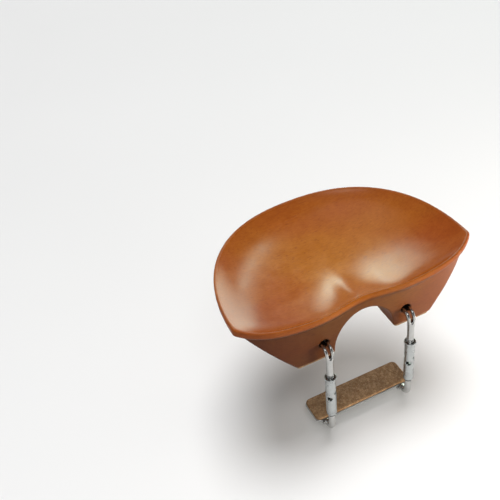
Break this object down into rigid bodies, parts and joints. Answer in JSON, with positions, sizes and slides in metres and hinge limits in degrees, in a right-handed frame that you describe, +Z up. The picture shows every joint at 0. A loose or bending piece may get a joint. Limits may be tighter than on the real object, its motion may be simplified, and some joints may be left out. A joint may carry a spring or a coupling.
{
  "type": "violin chin rest",
  "caption": "Centre-mounted carved wooden chin rest with a dished kidney-shaped cup, two cork-faced feet and a two-legged turnbuckle clamp.",
  "frame": {"origin": "on the plane of symmetry, at the outermost edge of the violin, level with the underside of the top corks", "axes": "+X to the right when looking from the tail end of the violin towards the scroll, +Y towards the scroll, +Z up out of the violin's top"},
  "size_m": [0.105, 0.0701, 0.0716],
  "materials": {
    "boxwood": "satin lacquer",
    "cork": "natural cork",
    "leg_steel": "bright nickel plate",
    "barrel_nickel": "satin nickel plate",
    "screw_steel": "zinc plate",
    "plate_steel": "nickel plate"
  },
  "bodies": {
    "chin_rest": {"chin_cup": "boxwood", "top_cork_left": "cork", "top_cork_right": "cork", "upper_leg_left": "leg_steel", "upper_leg_right": "leg_steel", "leg_screw_left": "screw_steel", "leg_screw_right": "screw_steel"},
    "barrel_left": {"barrel_left": "barrel_nickel"},
    "barrel_right": {"barrel_right": "barrel_nickel"},
    "lower_bracket": {"lower_leg_left": "leg_steel", "lower_leg_right": "leg_steel", "lower_plate": "plate_steel", "plate_rivets": "plate_steel", "lower_cork": "cork"}
  },
  "joints": [
    {"name": "barrel_left_turn", "type": "hinge", "parent": "chin_rest", "child": "barrel_left", "pos_m": [-0.0186, -0.0036, -0.0178], "axis": [0, 0, 1], "range_deg": [-2160, 1440]},
    {"name": "barrel_right_turn", "type": "hinge", "parent": "chin_rest", "child": "barrel_right", "pos_m": [0.0186, -0.0036, -0.0178], "axis": [0, 0, 1], "range_deg": [-2160, 1440]},
    {"name": "clamp_close", "type": "slide", "parent": "chin_rest", "child": "lower_bracket", "axis": [0, 0, 1], "range_m": [-0.006, 0.004]}
  ],
  "couplings": [
    {"joint": "barrel_left_turn", "follows": "clamp_close", "rad_per_m": 6283.1},
    {"joint": "barrel_right_turn", "follows": "clamp_close", "rad_per_m": 6283.1}
  ]
}
